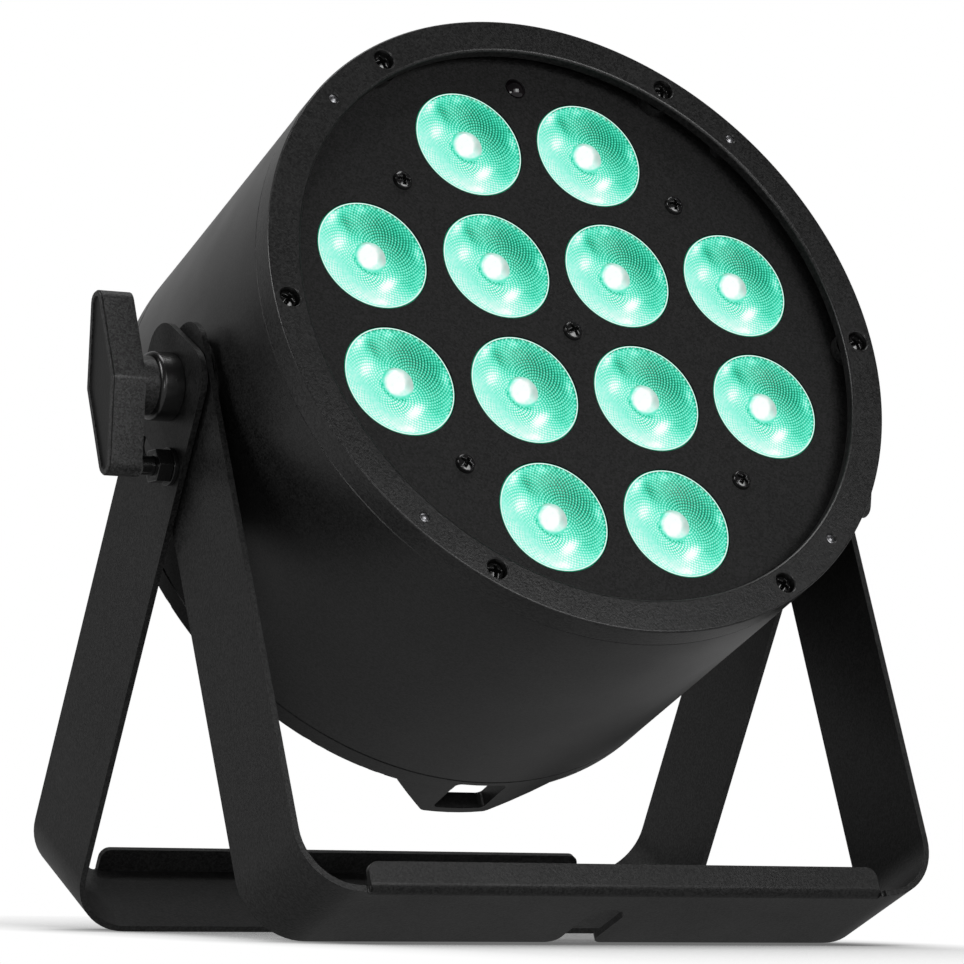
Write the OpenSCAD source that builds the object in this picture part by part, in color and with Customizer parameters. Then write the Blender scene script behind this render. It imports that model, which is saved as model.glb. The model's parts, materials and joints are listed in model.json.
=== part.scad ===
// LED par can light: a round lamp head that tilts on a folding double yoke.
// Millimetres. +Z is up, the lamp faces -Y, and the origin is on the floor under the tilt axis.
// Pieces of the head are drawn in the head's own frame: +Z forward along the beam, +Y up.

/* [Head] */
// Outer radius of the head at its front face
head_r = 110; // [109:0.5:110.5]
// Outer radius of the head at its back face
head_r_rear = 108.5; // [107.5:0.5:109.5]
// Distance from the tilt axis to the front face
front_z = 58.9; // [58.5:0.1:60]
// Distance from the tilt axis to the back face
rear_z = 60.9; // [60.5:0.1:62]
// Depth of the front bezel
bezel_depth = 8.9; // [8.5:0.1:9.5]
// Depth of the rear cover
cover_depth = 7.4; // [7:0.1:8]
// Wall thickness of the housing
wall = 2.5; // [2:0.1:3]
// Nose-up tilt of the head at rest, in degrees
tilt = 24.9; // [10:0.1:40]

/* [Lenses] */
// Visible radius of one lens
lens_r = 19; // [17:0.1:19.2]
// Spacing of the lens grid
lens_pitch = 44.7; // [43:0.1:45]

/* [Brackets] */
// Height of the tilt axis above the floor
pivot_h = 171; // [165:0.5:180]
// Forward splay of the front bracket, in degrees
splay_front = 23.4; // [20:0.1:25]
// Backward splay of the rear bracket, in degrees
splay_rear = 27.5; // [24:0.1:30]
// Width of the bracket strip
strip_w = 40; // [38:0.5:44]
// Thickness of the bracket sheet
sheet = 2; // [1.8:0.1:2]
// Outer radius of the bends at the feet
bend_r = 20; // [15:1:24]
// Distance from the centre to the front bracket's outer face
front_arm_x = 115.1; // [114.5:0.1:115.4]
// Distance from the centre to the rear bracket's outer face
rear_arm_x = 118; // [117.9:0.1:118.4]
// Height of the arms above the tilt axis
arm_top = 17; // [16:0.5:20]
// Height of the stiffening lip on the outer edge of each foot
lip_h = 9.8; // [8:0.1:12]
// Half length of the stiffening lip
lip_half = 92; // [80:1:92]
// Width of the open slot for the clamp bolt
clamp_slot_w = 13; // [12:0.1:14]

/* [Knobs] */
// Length of the locking knob
knob_len = 58.6; // [50:0.1:60]
// Width of the locking knob at its middle
knob_w = 19.2; // [17:0.1:20]
// Distance from the centre to the knob's outer face
knob_face_x = 142.2; // [141.5:0.1:144]
// Thickness of the knob's grip
knob_t = 11.2; // [9:0.1:11.5]
// How far the knobs' upper ends lean back when tight, in degrees
knob_angle = 8.6; // [-45:0.1:45]
// Radius of the threaded stud
stud_r = 4; // [3:0.1:4]

/* [Hidden] */
$fn = 64;
e = 0.5;
run_gap = 0.05;

// Head: derived positions along the beam
seam_front = front_z - bezel_depth;
seam_rear = cover_depth - rear_z;
taper = (head_r - head_r_rear) / (front_z + rear_z);
function skin_r(z) = head_r - (front_z - z) * taper;
skirt_wall = 2.7;
plate_t = 1;
plate_z = seam_front + plate_t;
plate_r = 101.8;
lip_r = 98.8;
lip_t = 3.9;
bezel_in_r = 106;
boss_r = 6;
pin_boss_r = 3.7;
counterbore_r = 3.6;
screw_pcd_r = 104.5;
screw_seat_z = front_z - 3.8;
screw_angles = [for (i = [0:5]) 60 * i];
pin_angles = [45, 135, 225, 315];
plate_screw_at = [[50.5, 50.5], [-50.5, 50.5], [-50.5, -50.5], [50.5, -50.5], [0, 0]];
ir_y = 90;
flange_t = 6;
flange_r = 94.5;

// Light engine
board_z = 30.4;
board_t = 1.6;
board_top = board_z + board_t;
board_r = 92;
sink_t = 5;
sink_r = 101;
fin_z = 8;
fin_t = 1.8;
fin_pitch = 9;
cable_angle = 225;
optic_top = plate_z - 0.3;
sink_post_r = 98;
lens_rows = [[-1.5, 2], [-0.5, 4], [0.5, 4], [1.5, 2]];
lens_at = [for (row = lens_rows) for (i = [0:row[1] - 1])
    [(i - (row[1] - 1) / 2) * lens_pitch, row[0] * lens_pitch]];

// Fan and electronics
fan_size = 80;
fan_hole = 35.75;
fan_front = 7;
fan_back = -13;
psu_y = -46;
psu_back = -27;
psu_front = 6;
psu_post_x = 58;
control_z = -52;
control_y = [42, 78];
control_x = 42;
button_y = 50;
button_x = [-27, -9, 9, 27];
button_r = 3.5;
display_y = 67;
panel_z = -rear_z;
panel_t = 3;
panel_in = panel_z + panel_t;
xlr_x = 70;
xlr_y = 2;
xlr_body_r = 11.8;
socket_depth = 24;
latch_half = 4;
power_x = 38;
power_y = -64;
rear_lug_r = 98.5;
rear_lug_angles = [for (i = [0:5]) 30 + 60 * i];
vent_r = 38;

// Safety eye on the rear cover
eye_tip_z = -76.8;
eye_out_r = head_r_rear - 0.1;
eye_in_r = 102.6;
eye_corner_x = 10.8;
eye_root_x = 28.4;
eye_round = 3;
eye_hole = [19, 17.8];
eye_hole_z = -64.7;

// Pivot stack, measured along X
pad_x = 110.4;
pad_r = 16;
insert_r = 6;
insert_x = 95;
stud_x = 97;
stud_bore = stud_r + run_gap;
front_in_x = front_arm_x - sheet;
rear_in_x = rear_arm_x - sheet;
collar_r = 10.8;
collar_end_x = 125.95;
neck_r = 9.3;
knob_back_x = knob_face_x - knob_t;

// Stop bolt that sets how far the brackets open
stop_r = 25;
stop_angle = 3.2;
stop_bolt_r = 3;
stop_head_r = 5;
stop_head_t = 2.2;
stop_washer_r = 6;
stop_washer_t = 1.6;
stop_nut_r = 5.77;
stop_nut_t = 5;
stop_end_x = 128.8;
fold_gap = 0.9;
fold_angle = splay_front + splay_rear - fold_gap;

// Brackets
function leg_len(splay) = (pivot_h - strip_w / 2 * sin(splay)) / cos(splay);
arm_corner_r = 11;
lip_bend_r = 3;
slot_fillet = 4;

// ---- Helpers ----

// Places children of the head, which tilts about the X axis at the pivot height
module in_head() {
    translate([0, 0, pivot_h]) rotate([90 - tilt, 0, 0]) children();
}

// Places children on the tilt axis, with +Z outward along the given side (1 right, -1 left)
module on_pivot(side) {
    translate([0, 0, pivot_h]) rotate([0, 90 * side, 0]) children();
}

// Both sides of the pivot at once
module both_pivots() {
    for (side = [-1, 1]) on_pivot(side) children();
}

// A disc or tube along Z between two heights
module ring(r, bore, z0, z1) {
    translate([0, 0, z0]) difference() {
        cylinder(r = r, h = z1 - z0);
        if (bore > 0) translate([0, 0, -e]) cylinder(r = bore, h = z1 - z0 + 2 * e);
    }
}

// A box between two corners
module box(low, high) {
    translate(low) cube(high - low);
}

// Centred rectangle with round corners
module round_rect(w, h, r) {
    square([w, h - 2 * r], center = true);
    square([w - 2 * r, h], center = true);
    for (x = [-1, 1], y = [-1, 1]) translate([x * (w / 2 - r), y * (h / 2 - r)]) circle(r = r);
}

// The sliver between a square corner at the origin and a fillet of radius r inside it
module corner_cut(r) {
    difference() {
        translate([-e, -e]) square(r + e);
        translate([r, r]) circle(r = r);
    }
}

// Pan head screw with a cross recess: the head rises from z = 0, the shank goes down
module pan_screw(head, head_h, shank, len) {
    difference() {
        intersection() {
            cylinder(r = head, h = head_h);
            translate([0, 0, head_h - 2 * head]) sphere(r = 2 * head);
        }
        translate([0, 0, head_h]) for (a = [0, 90]) rotate(a)
            cube([head * 1.2, head * 0.26, head_h * 1.1], center = true);
    }
    translate([0, 0, -len]) cylinder(r = shank, h = len + 0.01);
}

// A cable along a list of points, as overlapping straight lengths
module cable(points, r) {
    for (i = [0:len(points) - 2]) {
        v = points[i + 1] - points[i];
        translate(points[i]) rotate([0, acos(v[2] / norm(v)), atan2(v[1], v[0])])
            translate([0, 0, -r / 2]) cylinder(r = r, h = norm(v) + r, $fn = 12);
    }
}

// Repeats children at a radius and a list of angles
module around(radius, angles) {
    for (a = angles) rotate(a) translate([radius, 0, 0]) children();
}

// Points along an arc
function arc(centre, r, from, to, steps = 8) =
    [for (i = [0:steps]) let (a = from + (to - from) * i / steps) centre + r * [cos(a), sin(a)]];

// ---- Brackets ----

// Outline of the bent strip, seen along its width
module strip_outline(x, len) {
    difference() {
        translate([-x, -len]) square([2 * x, len + arm_top]);
        translate([-x, -len]) corner_cut(bend_r);
        translate([x, -len]) mirror([1, 0]) corner_cut(bend_r);
        difference() {
            translate([sheet - x, sheet - len]) square([2 * (x - sheet), len + arm_top]);
            translate([sheet - x, sheet - len]) corner_cut(bend_r - sheet);
            translate([x - sheet, sheet - len]) mirror([1, 0]) corner_cut(bend_r - sheet);
        }
    }
}

// Face of an arm: a strip with two round corners at its top
module arm_face(len) {
    translate([-strip_w / 2, -len - e]) square([strip_w, len + e + arm_top - arm_corner_r]);
    square([strip_w - 2 * arm_corner_r, 2 * arm_top], center = true);
    for (s = [-1, 1]) translate([s * (strip_w / 2 - arm_corner_r), arm_top - arm_corner_r])
        circle(r = arm_corner_r);
}

// Open slot in the foot for a clamp bolt, with a flared mouth at the inner edge
module clamp_slot() {
    mouth = strip_w / 2;
    circle(d = clamp_slot_w);
    translate([-clamp_slot_w / 2, 0]) square([clamp_slot_w, mouth + e]);
    for (s = [-1, 1]) translate([s * clamp_slot_w / 2, mouth]) scale_x(s) mouth_fillet();
}

// Mirrors children to the negative side of X when s is below zero
module scale_x(s) {
    mirror([s < 0 ? 1 : 0, 0]) children();
}

// What the round edge of the slot's mouth takes away beside the slot
module mouth_fillet() {
    difference() {
        translate([-e, -slot_fillet]) square([slot_fillet + e, slot_fillet + e]);
        translate([slot_fillet, -slot_fillet]) circle(r = slot_fillet);
    }
}

// Bent strip bracket hanging from the tilt axis, its outer edge towards -Y
module bracket_blank(x, len) {
    edge = -strip_w / 2;
    difference() {
        union() {
            intersection() {
                rotate([90, 0, 0]) translate([0, 0, -strip_w / 2])
                    linear_extrude(strip_w) strip_outline(x, len);
                rotate([90, 0, 90]) translate([0, 0, -x - e]) linear_extrude(2 * (x + e))
                    arm_face(len);
            }
            rotate([90, 0, 0]) translate([0, 0, -edge - sheet]) linear_extrude(sheet) intersection() {
                translate([-lip_half, -len]) square([2 * lip_half, lip_h]);
                translate([0, -len]) round_rect(2 * lip_half, 2 * lip_h, 3.5);
            }
        }
        translate([-lip_half, edge, -len]) rotate([90, 0, 90]) linear_extrude(2 * lip_half)
            corner_cut(lip_bend_r);
        for (s = [-1, 1]) translate([s * (lip_half + 1), edge, -len - e]) cylinder(r = 1, h = sheet + 2 * e);
        translate([0, 0, -len - e]) linear_extrude(sheet + 2 * e) clamp_slot();
    }
}

// Front bracket, the inner of the two, which carries the stop bolts
module front_bracket() {
    color("#1d1d1e") difference() {
        translate([0, 0, pivot_h]) rotate([-splay_front, 0, 0])
            bracket_blank(front_arm_x, leg_len(splay_front));
        both_pivots() translate([0, 0, front_in_x - e]) cylinder(r = stud_bore, h = sheet + 2 * e);
        at_stops() translate([0, 0, front_in_x - e]) cylinder(r = stop_bolt_r, h = sheet + 2 * e);
    }
}

// Arc slot about the tilt axis for a stop bolt, from the open position to the folded one
module stop_slot() {
    half = stop_bolt_r + run_gap;
    play = 0.3;
    first = -90 - stop_angle - play;
    last = first + fold_angle + 2 * play;
    translate([-sheet, 0, 0]) rotate([90, 0, 90]) linear_extrude(2 * sheet) polygon(concat(
        arc([0, 0], stop_r + half, first, last, 16),
        arc(stop_r * [cos(last), sin(last)], half, last + 22.5, last + 157.5, 6),
        arc([0, 0], stop_r - half, last, first, 16),
        arc(stop_r * [cos(first), sin(first)], half, first - 157.5, first - 22.5, 6)));
}

// Rear bracket, the outer of the two, with the arc slots that the stop bolts run in
module rear_bracket() {
    color("#1d1d1e") difference() {
        translate([0, 0, pivot_h]) rotate([splay_rear, 0, 0]) mirror([0, 1, 0])
            bracket_blank(rear_arm_x, leg_len(splay_rear));
        both_pivots() translate([0, 0, rear_in_x - e]) cylinder(r = stud_bore, h = sheet + 2 * e);
        for (side = [-1, 1]) translate([side * (rear_arm_x - sheet / 2), 0, pivot_h]) stop_slot();
    }
}

// Places children at both stop bolts, +Z outward
module at_stops() {
    for (side = [-1, 1]) translate([0, 0, pivot_h]) rotate([-stop_angle, 0, 0])
        translate([0, 0, -stop_r]) rotate([0, 90 * side, 0]) children();
}

module stop_bolts() {
    color("#2c2c2e") at_stops() {
        ring(stop_head_r, 0, front_in_x - stop_head_t, front_in_x);
        ring(stop_bolt_r, 0, front_in_x - 1, stop_end_x);
    }
}

module stop_washers() {
    color("#242426") at_stops()
        ring(stop_washer_r, stop_bolt_r, rear_arm_x + run_gap, rear_arm_x + stop_washer_t);
}

module stop_nuts() {
    color("#2c2c2e") at_stops() difference() {
        translate([0, 0, rear_arm_x + stop_washer_t]) rotate(90)
            cylinder(r = stop_nut_r, h = stop_nut_t, $fn = 6);
        translate([0, 0, rear_arm_x]) cylinder(r = stop_bolt_r, h = stop_nut_t + 2 * stop_washer_t);
    }
}

// Thin washers that keep the two brackets apart
module arm_spacers() {
    color("#3a3a3c") both_pivots() ring(12, stud_r + 0.1, front_arm_x + 0.01, rear_in_x - run_gap);
}

// ---- Head casing ----

module housing() {
    z0 = seam_rear;
    z1 = seam_front;
    chamfer = 0.4;
    color("#1b1b1c") in_head() difference() {
        union() {
            rotate_extrude($fn = 180) polygon([
                [skin_r(z0) - wall, z0], [skin_r(z0) - chamfer, z0], [skin_r(z0), z0 + chamfer],
                [skin_r(z1), z1 - chamfer], [skin_r(z1) - chamfer, z1], [skin_r(z1) - wall, z1]]);
            ring(skin_r(z1) - wall + 0.5, flange_r, z1 - flange_t, z1);
            for (side = [-1, 1]) rotate([0, 90 * side, 0]) {
                translate([0, 0, insert_x - 1]) cylinder(r = 14, h = 14);
                translate([0, 0, head_r_rear - 3]) cylinder(r = pad_r, h = pad_x - head_r_rear + 3);
            }
            around(rear_lug_r, rear_lug_angles) {
                translate([0, 0, z0]) cylinder(r = 5.5, h = 18);
                box([0, -4, z0], [skin_r(z0) - rear_lug_r - 1, 4, z0 + 18]);
            }
        }
        for (side = [-1, 1]) rotate([0, 90 * side, 0])
            translate([0, 0, insert_x]) cylinder(r = insert_r, h = pad_x);
        around(screw_pcd_r, screw_angles) translate([0, 0, z1 - flange_t - e])
            cylinder(r = 2, h = flange_t + 2 * e);
        around(screw_pcd_r, pin_angles) translate([0, 0, z1 - 4]) cylinder(r = 1.55, h = 5);
        around(sink_post_r, rear_lug_angles) translate([0, 0, z1 - flange_t - e])
            cylinder(r = 1.6, h = 4);
        around(rear_lug_r, rear_lug_angles) translate([0, 0, z0 - e]) cylinder(r = 1.8, h = 14);
    }
}

// Brass inserts that take the knob studs
module pivot_inserts() {
    color("#b08d4a") both_pivots() ring(insert_r, stud_bore, insert_x, pad_x - 0.1);
}

// Rubber friction washers between the housing and the front bracket
module friction_washers() {
    color("#151515") both_pivots() ring(15, stud_r + 0.2, pad_x, front_in_x - run_gap);
}

module front_bezel() {
    color("#202021") in_head() difference() {
        union() {
            rotate_extrude($fn = 180) bezel_profile();
            intersection() {
                translate([0, 0, seam_front]) {
                    around(screw_pcd_r, screw_angles) cylinder(r = boss_r, h = bezel_depth - lip_t + 1);
                    around(screw_pcd_r, pin_angles) cylinder(r = pin_boss_r, h = bezel_depth - lip_t + 1);
                }
                cylinder(r = bezel_in_r + 1, h = front_z);
            }
        }
        translate([0, 0, seam_front - e]) cylinder(r = plate_r + 0.2, h = plate_t + e, $fn = 180);
        around(screw_pcd_r, screw_angles) {
            translate([0, 0, seam_front - e]) cylinder(r = 2, h = bezel_depth);
            translate([0, 0, screw_seat_z]) cylinder(r = counterbore_r, h = 5);
        }
        around(screw_pcd_r, pin_angles) translate([0, 0, seam_front - e])
            cylinder(r = 1.5, h = bezel_depth + 2 * e);
    }
}

// Half section of the bezel: an outer wall with a lip that reaches in over the lens plate
module bezel_profile() {
    z0 = seam_front;
    chamfer = 0.4;
    difference() {
        polygon([
            [skin_r(z0) - chamfer, z0], [skin_r(z0), z0 + chamfer], [head_r, front_z],
            [lip_r, front_z], [lip_r, front_z - lip_t], [bezel_in_r, front_z - lip_t],
            [bezel_in_r, z0]]);
        translate([head_r, front_z]) rotate(180) corner_cut(0.8);
        translate([lip_r, front_z]) mirror([0, 1]) corner_cut(1);
    }
}

module bezel_screws() {
    color("#19191a") in_head() around(screw_pcd_r, screw_angles)
        translate([0, 0, screw_seat_z]) pan_screw(3.4, 2.6, 1.9, 11);
}

// Locating pins with polished round tips
module bezel_pins() {
    color("#77787a") in_head() around(screw_pcd_r, pin_angles) {
        translate([0, 0, seam_front - 3.5]) cylinder(r = 1.5, h = front_z - seam_front + 3);
        translate([0, 0, front_z - 2.4]) intersection() {
            sphere(r = 2.4);
            cylinder(r = 1.5, h = 5);
        }
    }
}

module lens_plate() {
    color("#1c1c1d") in_head() difference() {
        translate([0, 0, seam_front]) cylinder(r = plate_r, h = plate_t, $fn = 180);
        for (p = lens_at) translate([p[0], p[1], seam_front - e])
            cylinder(r = lens_r + 0.15, h = plate_t + 2 * e);
        for (p = plate_screw_at) translate([p[0], p[1], seam_front - e])
            cylinder(r = 1.7, h = plate_t + 2 * e);
        translate([0, ir_y, seam_front - e]) cylinder(r = 3.55, h = plate_t + 2 * e);
    }
}

module plate_screws() {
    color("#19191a") in_head() for (p = plate_screw_at) translate([p[0], p[1], plate_z])
        pan_screw(3.3, 1.9, 1.5, 9);
}

module plate_standoffs() {
    color("#b08d4a") in_head() for (p = plate_screw_at) translate([p[0], p[1], 0]) difference() {
        translate([0, 0, board_top]) cylinder(r = 3.2, h = seam_front - board_top, $fn = 6);
        translate([0, 0, seam_front - 12]) cylinder(r = 1.55, h = 13);
    }
}

module rear_cover() {
    slot = 3.4;
    block_in_r = 100.8;
    color("#1b1b1c") in_head() difference() {
        union() {
            rotate_extrude($fn = 180) difference() {
                polygon([[0, panel_z], [skin_r(panel_z), panel_z], [skin_r(seam_rear), seam_rear - 0.4],
                    [skin_r(seam_rear) - 0.4, seam_rear], [skin_r(seam_rear) - skirt_wall, seam_rear],
                    [skin_r(seam_rear) - skirt_wall, panel_in], [0, panel_in]]);
                translate([skin_r(panel_z), panel_z]) mirror([1, 0]) corner_cut(0.8);
            }
            safety_eye();
            box([-12, 3 - head_r_rear, panel_z], [12, -block_in_r, seam_rear - 0.4]);
        }
        translate([0, -eye_in_r, eye_hole_z]) rotate([90, 0, 0]) linear_extrude(10)
            round_rect(eye_hole[0], eye_hole[1], 2);
        translate([0, 0, panel_z - e]) linear_extrude(panel_t + 2 * e) intersection() {
            circle(r = vent_r);
            for (i = [-5:5], s = [-1, 1]) translate([s * 20.5, i * 7]) square([37, slot], center = true);
        }
        translate([0, 0, panel_z - e]) linear_extrude(panel_t + 2 * e) {
            translate([0, display_y]) round_rect(47, 17, 2);
            for (x = button_x) translate([x, button_y]) circle(r = button_r + 0.1);
            for (s = [-1, 1]) {
                translate([s * xlr_x, xlr_y]) circle(r = xlr_body_r + 0.1);
                translate([s * power_x, power_y]) round_rect(28.2, 30.2, 2);
            }
            translate([xlr_x - latch_half - 0.1, xlr_y + 9]) square([2 * latch_half + 0.2, 5.1]);
            for (a = rear_lug_angles) rotate(a) translate([rear_lug_r, 0]) circle(r = 2);
        }
    }
}

// Eye for a safety cable: a tongue that carries the cover's skin on past the back face
module safety_eye() {
    corner = [eye_corner_x, eye_tip_z + eye_round];
    side = 40;
    intersection() {
        translate([0, 0, eye_tip_z - e]) cylinder(r = eye_out_r, h = 22, $fn = 180);
        translate([0, -eye_in_r, 0]) rotate([90, 0, 0]) linear_extrude(10)
            polygon(concat([[-eye_root_x, panel_z + 1], [eye_root_x, panel_z + 1], [eye_root_x, panel_z]],
                [for (a = [side:-side / 5:0]) corner + eye_round * [sin(a), -cos(a)]],
                [for (a = [0:side / 5:side])
                    [-corner[0] - eye_round * sin(a), corner[1] - eye_round * cos(a)]],
                [[-eye_root_x, panel_z]]));
    }
}

module rear_screws() {
    color("#19191a") in_head() around(rear_lug_r, rear_lug_angles)
        translate([0, 0, panel_z]) mirror([0, 0, 1]) pan_screw(3.4, 2.2, 1.75, 14);
}

// ---- Light engine ----

module lens_optics() {
    top = optic_top;
    base = board_top + 1.6;
    color("#63e8c0") in_head() for (p = lens_at) translate([p[0], p[1], 0]) rotate_extrude() union() {
        polygon([[0, base], [5, base], [lens_r - 0.8, top - 2.5], [lens_r, top - 2.5],
            [lens_r, top - 0.3], [lens_r - 0.3, top], [lens_r - 1, top], [5.2, top - 0.9], [0, top - 0.9]]);
        intersection() {
            translate([0, top - 5.8]) circle(r = 6.6);
            translate([0, top - 2]) square([5, 4]);
        }
    }
}

module lens_holders() {
    color("#141414") in_head() for (p = lens_at) translate([p[0], p[1], 0]) rotate_extrude()
        polygon([[6, board_top], [20, board_top], [20, seam_front - 0.1], [lens_r + 0.2, seam_front - 0.1],
            [lens_r + 0.2, optic_top - 2.6], [lens_r - 0.4, optic_top - 2.6], [6, board_top + 1.9]]);
}

module led_emitters() {
    color("#e9e4c8") in_head() for (p = lens_at) translate([p[0], p[1], board_top]) {
        translate([-3.5, -3.5, 0]) cube([7, 7, 1]);
        cylinder(r = 2.6, h = 1.5);
    }
}

module led_board() {
    color("#e6e6e2") in_head() difference() {
        translate([0, 0, board_z]) cylinder(r = board_r, h = board_t, $fn = 128);
        for (x = [-1, 1]) translate([x * 80, 0, board_z - e]) cylinder(r = 2, h = board_t + 2 * e);
    }
}

// Infrared remote receiver: a domed window on three leads
module ir_receiver() {
    color("#101012") in_head() translate([0, ir_y, 0]) {
        translate([0, 0, 44]) cylinder(r = 3.45, h = plate_z - 43.8);
        translate([0, 0, plate_z - 2.6]) intersection() {
            sphere(r = 4.3);
            cylinder(r = 3.45, h = 5);
        }
        for (x = [-2.2, 0, 2.2]) translate([x, -1.4, board_top]) cylinder(r = 0.3, h = 13, $fn = 16);
    }
}

module heat_sink() {
    color("#9a9c9e") in_head() difference() {
        union() {
            translate([0, 0, board_z - sink_t]) cylinder(r = sink_r, h = sink_t, $fn = 128);
            translate([0, 0, fin_z]) linear_extrude(board_z - sink_t - fin_z + 0.1) intersection() {
                circle(r = sink_r - 3, $fn = 128);
                for (i = [-10:10]) translate([i * fin_pitch, 0])
                    square([fin_t, 2 * sink_r], center = true);
            }
            for (x = [-1, 1], y = [-1, 1]) translate([x * fan_hole, y * fan_hole, fin_z])
                cylinder(r = 4.5, h = board_z - fin_z - 1);
        }
        for (x = [-1, 1], y = [-1, 1]) translate([x * fan_hole, y * fan_hole, fin_z - e])
            cylinder(r = 1.9, h = 12);
        rotate(cable_angle) translate([sink_r - 2, 0, 0]) cylinder(r = 7, h = board_z + e);
    }
}

// Posts that carry the heat sink from the housing's front flange
module sink_posts() {
    color("#b08d4a") in_head() around(sink_post_r, rear_lug_angles) {
        translate([0, 0, board_z]) cylinder(r = 3.2, h = seam_front - flange_t - board_z, $fn = 6);
        translate([0, 0, seam_front - flange_t - e]) cylinder(r = 1.5, h = 3 + e);
    }
}

module fan_frame() {
    depth = fan_front - fan_back;
    color("#161616") in_head() translate([0, 0, fan_back]) difference() {
        union() {
            difference() {
                linear_extrude(depth) round_rect(fan_size, fan_size, 5);
                translate([0, 0, -e]) cylinder(r = 38, h = depth + 2 * e);
            }
            cylinder(r = 19, h = 3);
            for (a = [45:90:315]) rotate(a) box([10, -2.5, 0], [42, 2.5, 3]);
            cylinder(r = 1.5, h = depth - 4);
        }
        for (x = [-1, 1], y = [-1, 1]) translate([x * fan_hole, y * fan_hole, -e])
            cylinder(r = 2.15, h = depth + 2 * e);
    }
}

module fan_rotor() {
    blades = 7;
    depth = fan_front - fan_back - 6;
    color("#1e1e20") in_head() translate([0, 0, fan_back + 3.5]) difference() {
        union() {
            cylinder(r = 18, h = depth);
            intersection() {
                ring(36.8, 17, 0.5, depth);
                for (i = [0:blades - 1]) rotate(i * 360 / blades) translate([17, 0, depth / 2])
                    rotate([50, 0, 0]) translate([0, -11, -0.9]) cube([21, 22, 1.8]);
            }
        }
        translate([0, 0, -e]) cylinder(r = 1.5 + run_gap, h = depth);
    }
}

module fan_screws() {
    color("#8a8b8d") in_head() for (x = [-1, 1], y = [-1, 1])
        translate([x * fan_hole, y * fan_hole, fan_back]) mirror([0, 0, 1]) pan_screw(3.2, 2, 1.85, 30);
}

// ---- Power supply and control electronics ----

module psu_board() {
    color("#2f6b3a") in_head() difference() {
        box([-65, psu_y - board_t, psu_back], [65, psu_y, psu_front]);
        for (x = [-1, 1], z = [psu_back + 4, psu_front - 4]) translate([x * psu_post_x, psu_y, z])
            rotate([90, 0, 0]) translate([0, 0, -e]) cylinder(r = 1.6, h = 3);
    }
}

module psu_transformer() {
    y = psu_y - board_t;
    color("#c9b458") in_head() {
        box([-12, y - 5, psu_back + 4], [16, y, psu_front - 3]);
        box([-9, y - 22, psu_back + 7], [13, y - 5, psu_front - 6]);
        box([24, y - 16, psu_back + 6], [40, y, psu_front - 12]);
    }
}

module psu_capacitors() {
    y = psu_y - board_t;
    color("#26303f") in_head() {
        for (z = [-19, -3]) translate([-28, y, z]) rotate([90, 0, 0]) cylinder(r = 7, h = 24);
        for (x = [-48, -42], z = [-20, -8]) translate([x, y, z]) rotate([90, 0, 0])
            cylinder(r = 2.5, h = 12);
    }
}

module psu_standoffs() {
    color("#b08d4a") in_head() for (x = [-1, 1], z = [psu_back + 4, psu_front - 4])
        translate([x * psu_post_x, psu_y - board_t, z]) rotate([90, 0, 0]) {
            cylinder(r = 2.5, h = 38);
            translate([0, 0, -board_t]) cylinder(r = 1.5, h = 2);
        }
}

module control_board() {
    color("#2f6b3a") in_head() {
        box([-control_x, control_y[0], control_z], [control_x, control_y[1], control_z + board_t]);
        box([-10, 55, control_z + board_t], [2, 67, control_z + 3.2]);
        box([16, 58, control_z + board_t], [28, 64, control_z + 9]);
    }
}

module control_standoffs() {
    color("#b08d4a") in_head() for (x = [-38, 38], y = [control_y[0] + 4, control_y[1] - 4])
        translate([x, y, 0]) ring(2.5, 0, panel_in, control_z);
}

module button_switches() {
    color("#333335") in_head() for (x = button_x) translate([x, button_y, control_z - 3.8]) {
        translate([-3, -3, 0.6]) cube([6, 6, 3.2]);
        cylinder(r = 1.6, h = 1);
    }
}

module display() {
    color("#203028") in_head() box([-22, display_y - 7, panel_in + 0.4], [22, display_y + 7, control_z]);
}

module display_window() {
    color("#39424a") in_head() translate([0, display_y, panel_z + 0.3])
        linear_extrude(panel_t - 0.3) round_rect(46.9, 16.9, 2);
}

// A push button at x, with a flange that keeps it in the panel
module button(x) {
    color("#2a2a2c") in_head() translate([x, button_y, 0]) {
        ring(button_r, 0, panel_z - 1.8, panel_in + 0.3);
        ring(button_r + 1, 0, panel_in + run_gap, panel_in + 1.2);
    }
}

module menu_button() {
    button(button_x[0]);
}

module down_button() {
    button(button_x[1]);
}

module up_button() {
    button(button_x[2]);
}

module enter_button() {
    button(button_x[3]);
}

// ---- Sockets on the back ----

// Places children on the back panel, +Z rearward, at a position seen from the front
module on_panel(x, y) {
    in_head() translate([x, y, panel_z]) rotate([0, 180, 0]) children();
}

// Round three-pole connector shell: flange outside, body inside
module xlr_shell(front_bore, bore_depth) {
    difference() {
        union() {
            linear_extrude(1.5) round_rect(26, 31, 3);
            translate([0, 0, -socket_depth]) cylinder(r = xlr_body_r, h = socket_depth + e);
        }
        translate([0, 0, 1.5 - bore_depth]) cylinder(r = front_bore, h = bore_depth + e);
        for (s = [-1, 1]) translate([s * 9.5, -s * 12, -e]) cylinder(r = 1.6, h = 3);
    }
}

module dmx_input() {
    color("#2b2b2d") on_panel(-xlr_x, xlr_y) {
        xlr_shell(9.2, 15);
        for (a = [90, 210, 330]) rotate(a) translate([4, 0, -14]) cylinder(r = 1.2, h = 12, $fn = 24);
    }
}

module dmx_output() {
    color("#2b2b2d") on_panel(xlr_x, xlr_y) difference() {
        xlr_shell(9.2, 2);
        for (a = [90, 210, 330]) rotate(a) translate([4, 0, -14]) cylinder(r = 1.3, h = 16, $fn = 24);
        box([-latch_half - 0.1, 9, -4.6], [latch_half + 0.1, 14.1, 3]);
    }
}

// Push tab that releases the plug
module dmx_latch() {
    color("#8a8b8d") on_panel(xlr_x, xlr_y)
        box([-latch_half, 10.4, -4.5], [latch_half, 14, 2.8]);
}

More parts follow.
